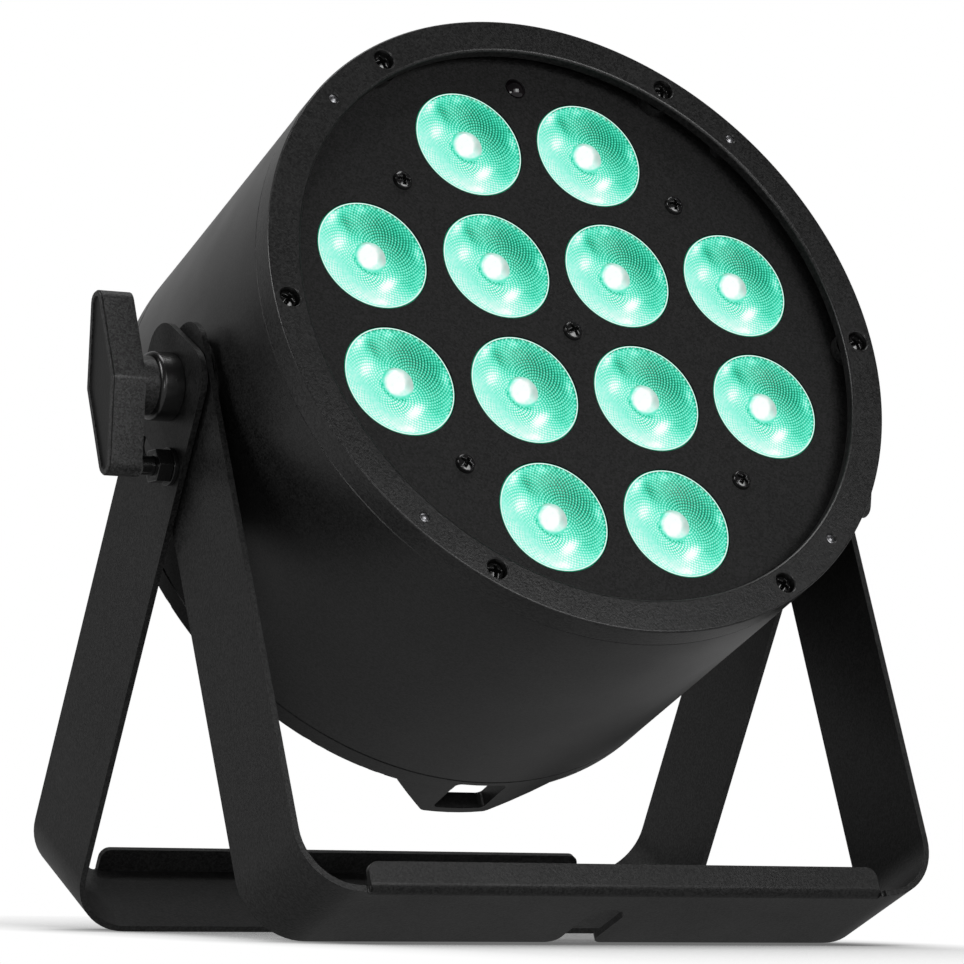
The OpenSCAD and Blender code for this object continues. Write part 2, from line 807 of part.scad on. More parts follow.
// Body of a mains connector: flange outside, rectangular body inside
module power_shell() {
    linear_extrude(2) difference() {
        round_rect(34, 40, 4);
        for (s = [-1, 1]) translate([0, s * 17.5]) circle(r = 1.6);
    }
    translate([0, 0, -socket_depth]) linear_extrude(socket_depth + e) round_rect(28, 30, 2);
}

module power_inlet() {
    color("#18181a") on_panel(-power_x, power_y) {
        difference() {
            power_shell();
            translate([0, 5, -14]) linear_extrude(20) round_rect(24, 17, 4);
            box([-9.1, -13.1, -18], [9.1, -5.9, 5]);
        }
        for (x = [-7, 0, 7]) box([x - 1, x == 0 ? 6 : 2, -15], [x + 1, x == 0 ? 10 : 6, -2]);
    }
}

// Drawer under the inlet that holds the fuse
module fuse_drawer() {
    color("#242427") on_panel(-power_x, power_y) {
        box([-9, -13, -16], [9, -6, 2.6]);
    }
}

module power_outlet() {
    color("#18181a") on_panel(power_x, power_y) difference() {
        power_shell();
        translate([0, 0, -14]) linear_extrude(20) difference() {
            round_rect(25, 20, 4);
            round_rect(21, 14, 3);
        }
        for (x = [-7, 0, 7]) box([x - 1.2, x == 0 ? 0 : -4, -12], [x + 1.2, x == 0 ? 5 : 1, 5]);
    }
}

module socket_screws() {
    color("#8a8b8d") {
        for (side = [-1, 1], s = [-1, 1]) on_panel(side * xlr_x, xlr_y)
            translate([s * 9.5, -s * 12, 1.5]) pan_screw(2.6, 1.4, 1.5, 1.5);
        for (side = [-1, 1], s = [-1, 1]) on_panel(side * power_x, power_y)
            translate([0, s * 17.5, 2]) pan_screw(2.6, 1.4, 1.5, 2);
    }
}

// Cables between the sockets, the boards and the lamp
module wiring() {
    lamp_r = 2;
    mains_r = 2.2;
    data_r = 1.8;
    socket_back = panel_z + socket_depth;
    out = [cos(cable_angle), sin(cable_angle), 0];
    color("#8d2020") in_head() {
        cable([[-52, psu_y - 2.6 - lamp_r, -12], 97 * out + [0, 0, 4], 97 * out + [0, 0, board_top + lamp_r],
            86 * out + [0, 0, board_top + lamp_r]], lamp_r);
        for (s = [-1, 1]) {
            cable([[s * power_x, power_y, socket_back + mains_r / 2], [s * power_x, power_y, -31],
                [s * 52, psu_y - 2 - mains_r, -24]], mains_r);
            cable([[s * xlr_x, xlr_y, socket_back + data_r / 2], [s * xlr_x, xlr_y, -32], [s * 62, 30, -34],
                [s * (control_x - 4), 58, control_z + 1.9 + data_r]], data_r);
        }
    }
}

// ---- Locking knobs ----

// Washer collar that slides out with the knob
module collar(side) {
    color("#19191a") on_pivot(side) difference() {
        rotate_extrude() difference() {
            polygon([[0, rear_arm_x + run_gap], [collar_r, rear_arm_x + run_gap],
                [collar_r, collar_end_x], [0, collar_end_x]]);
            translate([collar_r, collar_end_x]) rotate(180) corner_cut(1.6);
        }
        translate([0, 0, rear_arm_x - e]) cylinder(r = stud_bore, h = 12);
    }
}

module left_collar() {
    collar(-1);
}

module right_collar() {
    collar(1);
}

// The threaded stud of a knob, drawn without its thread
module stud(side) {
    color("#8a8b8d") on_pivot(side) translate([0, 0, stud_x])
        cylinder(r = stud_r, h = knob_face_x - 5 - stud_x);
}

module left_stud() {
    stud(-1);
}

module right_stud() {
    stud(1);
}

// Long diamond outline with round corners, drawn in by an inset
module knob_outline(inset) {
    tip_r = 4 - inset;
    side_r = 3.2 - inset;
    tip = knob_len / 2 - 4;
    side = knob_w / 2 - 3.2;
    a = atan2(side, -tip) - acos((tip_r - side_r) / norm([tip, side]));
    polygon(concat(arc([tip, 0], tip_r, -a, a), arc([0, side], side_r, a, 180 - a),
        arc([-tip, 0], tip_r, 180 - a, 180 + a), arc([0, -side], side_r, 180 + a, 360 - a)));
}

// Grip with a raised rim round its outer face, on a round neck
module knob(side) {
    color("#1f1f20") on_pivot(side) rotate(-side * knob_angle) difference() {
        union() {
            translate([0, 0, knob_back_x]) linear_extrude(knob_t - 0.5) knob_outline(0);
            translate([0, 0, knob_back_x + 1]) linear_extrude(knob_t - 1) knob_outline(0.4);
            translate([0, 0, collar_end_x + run_gap])
                cylinder(r = neck_r, h = knob_back_x - collar_end_x + 1);
        }
        translate([0, 0, knob_face_x - 0.6]) linear_extrude(2) knob_outline(1.9);
        translate([0, 0, collar_end_x - e]) cylinder(r = stud_r, h = knob_face_x - 5 - collar_end_x + e);
    }
}

module left_knob() {
    knob(-1);
}

module right_knob() {
    knob(1);
}

front_bracket();
rear_bracket();
stop_bolts();
stop_washers();
stop_nuts();
arm_spacers();
housing();
pivot_inserts();
friction_washers();
front_bezel();
bezel_screws();
bezel_pins();
lens_plate();
plate_screws();
plate_standoffs();
lens_optics();
lens_holders();
led_emitters();
led_board();
ir_receiver();
heat_sink();
sink_posts();
fan_frame();
fan_rotor();
fan_screws();
psu_board();
psu_transformer();
psu_capacitors();
psu_standoffs();
control_board();
control_standoffs();
button_switches();
display();
display_window();
menu_button();
down_button();
up_button();
enter_button();
rear_cover();
rear_screws();
power_inlet();
fuse_drawer();
power_outlet();
dmx_input();
dmx_output();
dmx_latch();
socket_screws();
wiring();
left_collar();
right_collar();
left_stud();
right_stud();
left_knob();
right_knob();
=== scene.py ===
import json
import math

import bmesh
import bpy
from mathutils import Matrix, Vector, kdtree

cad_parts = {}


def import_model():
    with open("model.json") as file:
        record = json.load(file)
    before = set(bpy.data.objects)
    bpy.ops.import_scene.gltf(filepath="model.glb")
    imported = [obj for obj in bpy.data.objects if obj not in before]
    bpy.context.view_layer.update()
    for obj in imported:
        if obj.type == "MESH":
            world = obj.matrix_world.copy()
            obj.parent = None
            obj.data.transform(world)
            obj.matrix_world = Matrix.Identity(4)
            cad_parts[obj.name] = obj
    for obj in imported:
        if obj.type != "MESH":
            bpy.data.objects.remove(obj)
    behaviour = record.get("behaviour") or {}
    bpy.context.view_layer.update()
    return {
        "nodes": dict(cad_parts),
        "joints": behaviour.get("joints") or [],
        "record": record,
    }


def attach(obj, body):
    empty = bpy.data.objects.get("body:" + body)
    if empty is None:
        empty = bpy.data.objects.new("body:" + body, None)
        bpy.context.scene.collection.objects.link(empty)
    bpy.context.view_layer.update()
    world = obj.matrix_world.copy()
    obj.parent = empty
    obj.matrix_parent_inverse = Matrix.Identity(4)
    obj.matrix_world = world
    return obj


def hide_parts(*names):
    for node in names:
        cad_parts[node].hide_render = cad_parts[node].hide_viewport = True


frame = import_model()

MM = 0.001


# ---------------------------------------------------------------- places
def joint(name):
    return next(j for j in frame["joints"] if j["name"] == name)


PIVOT = Vector(joint("head_tilt")["pos_m"])
RIGHT = Vector((1, 0, 0))
BEAM = Vector(joint("fan_spin")["axis"])
UP = BEAM.cross(RIGHT)
HEAD = Matrix.Translation(PIVOT) @ Matrix((RIGHT, UP, BEAM)).transposed().to_4x4()
TO_HEAD = HEAD.inverted()


def in_head(point):
    """A point of the shared frame in head coordinates: x right, y up the face, z along the beam."""
    return TO_HEAD @ Vector(point)


def islands(node):
    """The loose parts of a CAD node, each as (centre, low, high) in head coordinates."""
    bm = bmesh.new()
    bm.from_mesh(frame["nodes"][node].data)
    bmesh.ops.remove_doubles(bm, verts=bm.verts, dist=1e-6)
    known, parts = set(), []
    for start in bm.verts:
        if start.index in known:
            continue
        stack, found = [start], []
        known.add(start.index)
        while stack:
            vert = stack.pop()
            found.append(in_head(vert.co))
            for edge in vert.link_edges:
                other = edge.other_vert(vert)
                if other.index not in known:
                    known.add(other.index)
                    stack.append(other)
        low = Vector([min(p[i] for p in found) for i in range(3)])
        high = Vector([max(p[i] for p in found) for i in range(3)])
        parts.append(((low + high) / 2, low, high))
    bm.free()
    return parts


PLATE_FRONT = max(high.z for _, _, high in islands("lens_plate"))


# ---------------------------------------------------------------- materials
class Nodes:
    """Adds and links the shader nodes of a material or a world."""

    def __init__(self, owner):
        owner.use_nodes = True
        self.owner = owner
        self.tree = owner.node_tree
        self.shader = self.tree.nodes.get("Principled BSDF")

    def feed(self, socket, value):
        if isinstance(value, bpy.types.NodeSocket):
            self.tree.links.new(value, socket)
        else:
            socket.default_value = value

    def set(self, node, **inputs):
        for key, value in inputs.items():
            self.feed(node.inputs[key.replace("_", " ")], value)

    def add(self, kind, **inputs):
        node = self.tree.nodes.new("ShaderNode" + kind)
        self.set(node, **inputs)
        return node

    def coords(self, output="Object"):
        return self.add("TexCoord").outputs[output]

    def camera_ray(self):
        return self.add("LightPath").outputs["Is Camera Ray"]

    def attribute(self, name):
        node = self.add("Attribute")
        node.attribute_name = name
        return node.outputs["Fac"]

    def x_of(self, vector):
        return self.add("SeparateXYZ", Vector=vector).outputs["X"]

    def noise(self, size, detail=2.0):
        """Noise whose features measure about size metres."""
        return self.add("TexNoise", Vector=self.coords(), Scale=1 / size, Detail=detail).outputs["Fac"]

    def specks(self, size):
        """Small cells, each with its own value from 0 to 1."""
        cells = self.add("TexVoronoi", Vector=self.coords(), Scale=1 / size)
        return self.add("SeparateColor", Color=cells.outputs["Color"]).outputs["Red"]

    def ramp(self, value, low, high, start=0.0, end=1.0):
        """Goes from low to high while the value goes from start to end."""
        node = self.add("MapRange", Value=value, From_Min=start, From_Max=end, To_Min=low, To_Max=high)
        return node.outputs["Result"]

    def mix(self, amount, first, second):
        """A colour between two colours."""
        node = self.add("Mix")
        node.data_type = "RGBA"
        for index, value in ((0, amount), (6, first), (7, second)):
            self.feed(node.inputs[index], value)
        return node.outputs[2]

    def math(self, operation, first, second=0.0):
        node = self.add("Math")
        node.operation = operation
        self.feed(node.inputs[0], first)
        self.feed(node.inputs[1], second)
        return node.outputs[0]

    def bump(self, height, strength, distance):
        return self.add("Bump", Height=height, Strength=strength, Distance=distance).outputs["Normal"]


def rgb(r, g, b):
    return (r, g, b, 1)


def paint(name, tone, rough, grain, relief, shine=0.5, vary=0.35, tint=(1, 1, 1)):
    """Paint or moulded plastic: a fine grain in colour and relief, and a gloss that changes slowly."""
    n = Nodes(bpy.data.materials.new(name))
    dark, light = (rgb(*(tone * share * t for t in tint)) for share in (1 - vary, 1 + vary))
    n.set(n.shader, Base_Color=n.mix(n.specks(grain * 0.7), dark, light), Metallic=0.0,
          Roughness=n.ramp(n.noise(0.03), rough * 0.93, rough * 1.07, 0.3, 0.7),
          Normal=n.bump(n.noise(grain, 3.0), 0.6, relief), Specular_IOR_Level=shine)
    return n


def knob_paint():
    """Grained knob plastic, darker in the sunk faces of the two knobs."""
    n = paint("knob_plastic", 0.024, 0.45, 0.0007, 0.00014, 0.5, 0.98)
    rim = max(abs(v.co.x) for v in frame["nodes"]["left_knob"].data.vertices)
    sunk = rim - 0.6 * MM
    off = n.math("ABSOLUTE", n.math("SUBTRACT", n.math("ABSOLUTE", n.x_of(n.coords())), sunk))
    facing = n.math("ABSOLUTE", n.x_of(n.add("NewGeometry").outputs["True Normal"]))
    inside = n.math("MULTIPLY", n.math("GREATER_THAN", facing, 0.9), n.math("LESS_THAN", off, 0.2 * MM))
    grained = n.shader.inputs["Base Color"].links[0].from_socket
    n.set(n.shader, Base_Color=n.mix(inside, grained, rgb(0.008, 0.008, 0.008)))
    return n


def metal(name, colour, rough, brush=0.0008):
    """Bare metal with a fine brushed gloss."""
    n = Nodes(bpy.data.materials.new(name))
    fine = n.noise(brush)
    n.set(n.shader, Base_Color=n.mix(n.noise(0.02, 3.0), rgb(*(c * 0.8 for c in colour)), rgb(*colour)),
          Metallic=1.0, Roughness=n.ramp(fine, rough * 0.7, rough * 1.3, 0.3, 0.7),
          Normal=n.bump(fine, 0.3, 0.00001))
    return n


# tone, roughness, size of the grain and depth of its relief in metres, shine, variation, tint
PAINTS = {
    "bracket_paint": (0.0115, 0.42, 0.0008, 0.0001, 0.3, 0.8),
    "black_fastener": (0.006, 0.16, 0.0006, 0.00001, 0.8, 0.2),
    "housing_paint": (0.0100, 0.36, 0.0007, 0.00004, 0.5, 0.8),
    "bezel_paint": (0.0115, 0.36, 0.0008, 0.00012, 0.55, 0.95),
    "plate_paint": (0.0075, 0.6, 0.0008, 0.0001, 0.3, 0.95),
    "collar_plastic": (0.011, 0.26, 0.0006, 0.00002, 0.7),
    "friction_rubber": (0.012, 0.8, 0.0005, 0.00005, 0.3),
    "holder_plastic": (0.01, 0.5, 0.001, 0.00002),
    "led_phosphor": (0.7, 0.3, 0.001, 0.00001, 0.5, 0.05, (1, 0.97, 0.7)),
    "white_board": (0.75, 0.4, 0.002, 0.00001, 0.5, 0.05),
    "ir_window": (0.004, 0.12, 0.002, 0.000003, 0.6, 0.2, (1, 0.7, 0.9)),
    "fan_plastic": (0.012, 0.45, 0.001, 0.00002),
    "green_board": (0.07, 0.35, 0.003, 0.00002, 0.5, 0.3, (0.2, 1, 0.4)),
    "transformer_tape": (0.5, 0.35, 0.004, 0.00002, 0.5, 0.15, (1, 0.85, 0.2)),
    "capacitor_sleeve": (0.03, 0.3, 0.004, 0.00001, 0.5, 0.2, (0.7, 0.9, 1.6)),
    "switch_plastic": (0.03, 0.4, 0.001, 0.00001),
    "display_glass": (0.006, 0.05, 0.01, 0.000001, 0.6, 0.2, (0.8, 1, 1.1)),
    "display_module": (0.02, 0.3, 0.002, 0.00001, 0.5, 0.3, (0.7, 1.2, 0.9)),
    "button_plastic": (0.02, 0.35, 0.0008, 0.00002),
    "socket_plastic": (0.012, 0.35, 0.001, 0.00002),
    "cable_jacket": (0.3, 0.4, 0.003, 0.00002, 0.5, 0.15, (1, 0.08, 0.06)),
}

# colour, roughness, size of the brush marks in metres
METALS = {
    "zinc_steel": ((0.6, 0.61, 0.63), 0.3),
    "pin_steel": ((0.25, 0.25, 0.26), 0.35),
    "brass": ((0.75, 0.55, 0.25), 0.3),
    "sink_aluminium": ((0.75, 0.76, 0.78), 0.4, 0.0015),
}

MATERIALS = {name: paint(name, *look).owner for name, look in PAINTS.items()}
MATERIALS.update({name: metal(name, *look).owner for name, look in METALS.items()})
MATERIALS["knob_plastic"] = knob_paint().owner


# ---------------------------------------------------------------- CAD nodes
def soften(obj, width):
    """Rounds the sharp edges of a CAD node with modifiers only."""
    sharp = math.radians(35)
    obj.modifiers.new("weld", "WELD").merge_threshold = 1e-6
    if width:
        bevel = obj.modifiers.new("bevel", "BEVEL")
        bevel.width = width
        bevel.segments = 2
        bevel.limit_method = "ANGLE"
        bevel.angle_limit = sharp
        bevel.use_clamp_overlap = True
        bevel.miter_outer = "MITER_ARC"
    else:
        obj.modifiers.new("split", "EDGE_SPLIT").split_angle = sharp
    weight_normals(obj, 80, keep_sharp=False)


def weight_normals(obj, weight, keep_sharp):
    normals = obj.modifiers.new("normals", "WEIGHTED_NORMAL")
    normals.keep_sharp = keep_sharp
    normals.weight = weight


# widths in millimetres; the nodes not named here keep sharp edges
ROUNDING = {
    "front_bracket": 0.5, "rear_bracket": 0.5, "lens_plate": 0.15, "left_knob": 0.25, "right_knob": 0.25,
    "left_collar": 0.3, "right_collar": 0.3, "friction_washers": 0.2, "arm_spacers": 0.1,
    "stop_nuts": 0.3, "stop_washers": 0.15, "stop_bolts": 0.3, "bezel_screws": 0.12, "plate_screws": 0.12,
    "rear_screws": 0.12, "socket_screws": 0.1, "power_inlet": 0.3, "power_outlet": 0.3, "dmx_input": 0.3,
    "dmx_output": 0.3, "dmx_latch": 0.3, "fuse_drawer": 0.3, "menu_button": 0.3, "down_button": 0.3,
    "up_button": 0.3, "enter_button": 0.3, "display_window": 0.3, "fan_frame": 0.3, "fan_rotor": 0.2,
}

slots = {s["node"]: s["material_slot"] for s in frame["record"]["subparts"]}
for node, obj in frame["nodes"].items():
    if slots[node] in MATERIALS:
        obj.data.materials.clear()
        obj.data.materials.append(MATERIALS[slots[node]])
        for face in obj.data.polygons:
            face.material_index = 0
    soften(obj, ROUNDING.get(node, 0) * MM)


# ---------------------------------------------------------------- own pieces
def linked(name, data):
    """A new object in the scene."""
    obj = bpy.data.objects.new(name, data)
    bpy.context.scene.collection.objects.link(obj)
    return obj


def add_piece(name, mesh, place, node):
    """Shows a mesh on the head in place of a CAD node, or of one of its loose parts."""
    obj = linked(name, mesh)
    obj.matrix_world = place
    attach(obj, "head")
    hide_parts(node)
    return obj


def smooth(x, low, high):
    """0 below low, 1 above high, and a soft step between."""
    t = min(max((x - low) / (high - low), 0), 1)
    return t * t * (3 - 2 * t)


def circle(r, spokes):
    """Points (x, y) round the axis. A circle of no size is one point."""
    turns = [2 * math.pi * k / spokes for k in range(spokes if r else 1)]
    return [(r * math.cos(a), r * math.sin(a)) for a in turns]


def bridge(bm, first, second):
    """Joins two loops of points with faces. A loop can be a single point."""
    count = max(len(first), len(second))
    for k in range(count):
        j = (k + 1) % count
        corners = dict.fromkeys((first[k % len(first)], second[k % len(second)],
                                 second[j % len(second)], first[j % len(first)]))
        if len(corners) > 2:
            bm.faces.new(list(corners))


def lathe(bm, profile, spokes, closed=True):
    """Turns (radius, z) points about the z axis. A closed profile joins its last point to its first."""
    loops = [[bm.verts.new((x, y, z)) for x, y in circle(r, spokes)] for r, z in profile]
    for first, second in zip(loops, loops[1:]):
        bridge(bm, first, second)
    if closed:
        bridge(bm, loops[-1], loops[0])


def finish_mesh(bm, name, slot, angle=40):
    """Makes a mesh of the faces, smooth but for edges sharper than the angle."""
    bmesh.ops.recalc_face_normals(bm, faces=bm.faces)
    mesh = bpy.data.meshes.new(name)
    bm.to_mesh(mesh)
    bm.free()
    mesh.shade_smooth()
    mesh.set_sharp_from_angle(angle=math.radians(angle))
    mesh.materials.append(MATERIALS[slot])
    return mesh


# ---------------------------------------------------------------- front ring
def arc(x, z, r, angles):
    """Points of a profile on an arc round (x, z)."""
    return [(x + r * math.cos(math.radians(a)), z + r * math.sin(math.radians(a))) for a in angles]


def front_ring():
    """The bezel: an outer wall and a lip with rounded edges, bosses under the lip and recesses for its screws."""
    points = [in_head(v.co) for v in frame["nodes"]["front_bezel"].data.vertices]
    front, back = max(p.z for p in points), min(p.z for p in points)
    outer = max(math.hypot(p.x, p.y) for p in points)
    lip = min(math.hypot(p.x, p.y) for p in points if p.z >= front - 2 * MM)
    wall = outer - 4 * MM
    shelf = front - 3.9 * MM
    fine, soft, chamfer = 0.6 * MM, 1.0 * MM, 0.4 * MM
    profile = [(outer - 0.3 * MM, back), (outer, back + 0.3 * MM)]
    profile += arc(outer - fine, front - fine, fine, (0, 22, 45, 68, 90))
    profile += arc(lip + soft, front - soft, soft, range(90, 181, 18))
    profile += [(lip, shelf + chamfer), (lip + chamfer, shelf), (wall, shelf), (wall, back)]
    bm = bmesh.new()
    lathe(bm, profile, 360)
    blank = linked("ring_blank", finish_mesh(bm, "ring_blank", "bezel_paint"))

    # centre, radius and depth of the recess, radius of the boss
    holes = [(c, 3.45 * MM, 3.8 * MM, 6 * MM) for c, _, _ in islands("bezel_screws")]
    holes += [(c, 1.6 * MM, 1.2 * MM, 3.7 * MM) for c, _, _ in islands("bezel_pins")]
    cutter = linked("cutter", recesses(holes, front))
    cut = blank.modifiers.new("cut", "BOOLEAN")
    cut.operation = "DIFFERENCE"
    cut.solver = "EXACT"
    cut.object = cutter
    bpy.context.view_layer.update()
    done = bpy.data.meshes.new_from_object(blank.evaluated_get(bpy.context.evaluated_depsgraph_get()))
    bpy.data.objects.remove(blank)
    bpy.data.objects.remove(cutter)

    bm = bmesh.new()
    bm.from_mesh(done)
    for centre, _, _, around in holes:
        boss(bm, centre, around, wall + 0.5 * MM, PLATE_FRONT, shelf)
    obj = add_piece("front_ring", finish_mesh(bm, "front_ring", "bezel_paint"), HEAD, "front_bezel")
    weight_normals(obj, 100, keep_sharp=True)


def recesses(holes, front):
    """The round solids, with flared mouths, that are cut from the ring's front."""
    flare = 0.35 * MM
    bm = bmesh.new()
    for centre, r, depth, _ in holes:
        first = len(bm.verts)
        lathe(bm, [(0, front - depth), (r, front - depth), (r, front - flare), (r + flare, front),
                   (r + 2 * flare, front + flare), (0, front + flare)], 48, closed=False)
        bm.verts.ensure_lookup_table()
        bmesh.ops.translate(bm, vec=(centre.x, centre.y, 0), verts=bm.verts[first:])
    bmesh.ops.recalc_face_normals(bm, faces=bm.faces)
    mesh = bpy.data.meshes.new("recesses")
    bm.to_mesh(mesh)
    bm.free()
    return mesh


def boss(bm, centre, r, limit, low, high):
    """The part of a round boss that stands inside a ring's inner wall, its foot rounded."""
    away = math.atan2(centre.y, centre.x)
    reach = math.hypot(centre.x, centre.y)
    half = math.acos((reach * reach + r * r - limit * limit) / (2 * reach * r))
    steps = 20
    points = []
    for i in range(steps + 1):
        a = away + math.pi + half * (2 * i / steps - 1)
        points.append((centre.x + r * math.cos(a), centre.y + r * math.sin(a)))
    rounding = 0.5 * MM
    rows = []
    for z, inset in ((high, 0), (low + rounding, 0), (low + rounding * 0.3, rounding * 0.3), (low, rounding)):
        row = []
        for x, y in points:
            d = Vector((centre.x - x, centre.y - y)).normalized() * inset
            row.append(bm.verts.new((x + d.x, y + d.y, z)))
        rows.append(row)
    for a, b in zip(rows, rows[1:]):
        for i in range(steps):
            bm.faces.new((a[i], a[i + 1], b[i + 1], b[i]))
    bm.faces.new(rows[-1])


# ---------------------------------------------------------------- screws
def screw_mesh(head, rise, length):
    """Pan head with a cross recess whose walls slope, on a plain shank. The head stands on z = 0."""
    rings, spokes = 22, 72
    bm = bmesh.new()
    rows = []
    for i in range(rings + 1):
        row = []
        for x, y in circle(head * i / rings, spokes):
            out = math.hypot(x, y) / head
            dome = rise * (1 - 0.42 * out ** 2 - 0.5 * smooth(out, 0.86, 1.0))
            arm = max(min(abs(x), abs(y)) - head * 0.11, max(abs(x), abs(y)) - head * 0.58)
            sink = rise * 0.85 * (1 - smooth(arm / head, -0.1, 0.09))
            row.append(bm.verts.new((x, y, dome - sink)))
        rows.append(row)
    for share, z in ((1, 0), (0.5, 0), (0.5, -length)):
        rows.append([bm.verts.new((x, y, z)) for x, y in circle(head * share, spokes)])
    for first, second in zip(rows, rows[1:]):
        bridge(bm, first, second)
    bm.faces.new(rows[-1])
    return finish_mesh(bm, "screw", "black_fastener", 50)


def screws(node, rise):
    """Own screws in place of a CAD node's, each turned differently."""
    parts = sorted(islands(node), key=lambda part: (round(part[0].x, 3), round(part[0].y, 3)))
    _, low, high = parts[0]
    mesh = screw_mesh((high.x - low.x) / 2, rise, high.z - low.z - rise)
    for i, (centre, _, high) in enumerate(parts):
        place = HEAD @ Matrix.Translation((centre.x, centre.y, high.z - rise))
        place = place @ Matrix.Rotation(0.9 + 2.1 * i, 4, "Z")
        add_piece("%s_%02d" % (node, i + 1), mesh, place, node)


# ---------------------------------------------------------------- lenses
DIMPLE_PITCH = 0.95 * MM
DISH_DEPTH = 1.6 * MM
SKIRT_TOP, SKIRT_END = -2.8 * MM, -16.5 * MM


def blob(x, y, cx, cy, along, across, turn):
    """1 at the centre of a soft ellipse, falling to 0 outside it."""
    c, s = math.cos(math.radians(turn)), math.sin(math.radians(turn))
    u, v = (x - cx) * c + (y - cy) * s, -(x - cx) * s + (y - cy) * c
    return math.exp(-(u / along) ** 2 - (v / across) ** 2)


# painted highlights and patches of painted shade on the lens, listed: strength, centre, half sizes, turn in
# degrees
PAINTED_LENS_PATCHES = [
    (0.12, 0.1, -0.78, 0.5, 0.2, 0), (0.55, 0.2, -0.52, 0.19, 0.085, 38), (0.2, 0.01, -0.88, 0.15, 0.07, 0),
    (0.28, -0.55, 0.22, 0.17, 0.1, 48), (0.2, -0.01, 0.87, 0.1, 0.06, 0), (0.34, -0.56, 0.72, 0.2, 0.07, 45),
    (0.25, 0.87, 0.1, 0.06, 0.14, 0), (-0.26, -0.36, 0.62, 0.26, 0.13, 118), (-0.04, -0.5, -0.25, 0.3, 0.16, -40),
    (-0.06, -0.1, -0.45, 0.34, 0.12, 0), (-0.1, 0.6, -0.5, 0.2, 0.2, 0),
]


def painted_lens_light(p, q, dot):
    """Painted light of the lens: how bright a point looks, 0 to 1, with painted highlights and painted shade; p
    and q in units of the lens radius. The dot is 1 on a dimple.
    """
    r = math.hypot(p, q)
    turn = (math.degrees(math.atan2(q, p)) - 48 + 180) % 360 - 180
    # painted shade in a dark lobe toward the upper right, painted light toward the lower left, and a ring of
    # painted shade at the dome's foot on its lower left
    painted_dark_lobe = math.exp(-(abs(turn) / (68 if turn > 0 else 84)) ** 2.6) * math.exp(-((r - 0.62) / 0.44) ** 2)
    painted_lit_side = smooth(-(0.8 * p + 0.6 * q), 0.3, 0.85)
    shade = 0.25 * blob(r, 0, 0.31, 0, 0.035, 1, 0) * smooth(-(0.6 * p + 0.8 * q) / max(r, 0.01), 0.2, 0.9)
    value = 0.66 - 0.50 * painted_dark_lobe + 0.18 * painted_lit_side - shade
    # painted highlights and patches of painted shade; the dimples show most in the painted dark lobe
    value += sum(strength * blob(p, q, *place) for strength, *place in PAINTED_LENS_PATCHES)
    contrast = 0.34 + 0.32 * painted_dark_lobe + 0.35 * blob(p, q, -0.1, -0.45, 0.34, 0.14, 0) - 0.6 * painted_lit_side
    return value + contrast * (dot - 0.3)


def from_camera(x, y, z):
    """Where a point near a lens lies as the camera sees it: (right, up), in the same unit."""
    return 0.858 * x - 0.201 * y + 0.472 * z, -0.029 * x + 0.899 * y + 0.437 * z


def painted_dome_light(x, y, z, size):
    """Tone and painted grey-green shade of the clear dome: a painted white disc where the emitter sits, in
    painted shade that grows toward the upper right, the top and the edge.
    """
    a, b = (v / size for v in from_camera(x, y, z))
    near = math.hypot((a + 0.24) / 0.62, (b + 0.12) / 0.78)
    # painted white disc, a painted highlight, with painted shade round it
    painted_white_disc = 1 - smooth(near, 0.72, 1.0 + 0.5 * smooth(a + b, -0.2, 1.0))
    value = 0.86 - 0.2 * smooth(b, 0.1, 0.9) - 0.3 * smooth(math.hypot(a, b), 0.84, 1.0)
    return value + (1.02 - value) * painted_white_disc, (1 - painted_white_disc) * 0.75 * smooth(a + b, -0.4, 0.5)


def dimples(inner, outer):
    """Centres of dimples in sunflower order between two radii, as a tree to search."""
    spread = DIMPLE_PITCH / math.sqrt(math.pi)
    golden = math.pi * (3 - math.sqrt(5))
    seeds = [(spread * math.sqrt(n), n * golden) for n in range(int((outer / spread) ** 2))]
    seeds = [(r * math.cos(a), r * math.sin(a), 0) for r, a in seeds if r > inner]
    tree = kdtree.KDTree(len(seeds))
    for i, seed in enumerate(seeds):
        tree.insert(seed, i)
    tree.balance()
    return tree


def lens_height(r, dome, face):
    """Height of the front over the rim: a clear dome in a shallow dish."""
    if r < dome:
        return 2.8 * MM * math.sqrt(max(1 - (r / dome) ** 2, 0)) - DISH_DEPTH
    if r < face:
        return 1.2 * MM * smooth(r, dome, face) - DISH_DEPTH
    return 0.0


def painted_rim_light(share, angle):
    """Painted light of the flat rim at a share of the radius: a ring of painted dark dashes toward the upper
    right, a painted bright ring and a dark edge.
    """
    if share < 0.967:
        bearing = abs((math.degrees(angle) - 45 + 180) % 360 - 180)
        return 0.12 if math.sin(80 * angle) > -0.2 and bearing < 80 else 0.7
    return 0.95 if share < 0.986 else 0.1


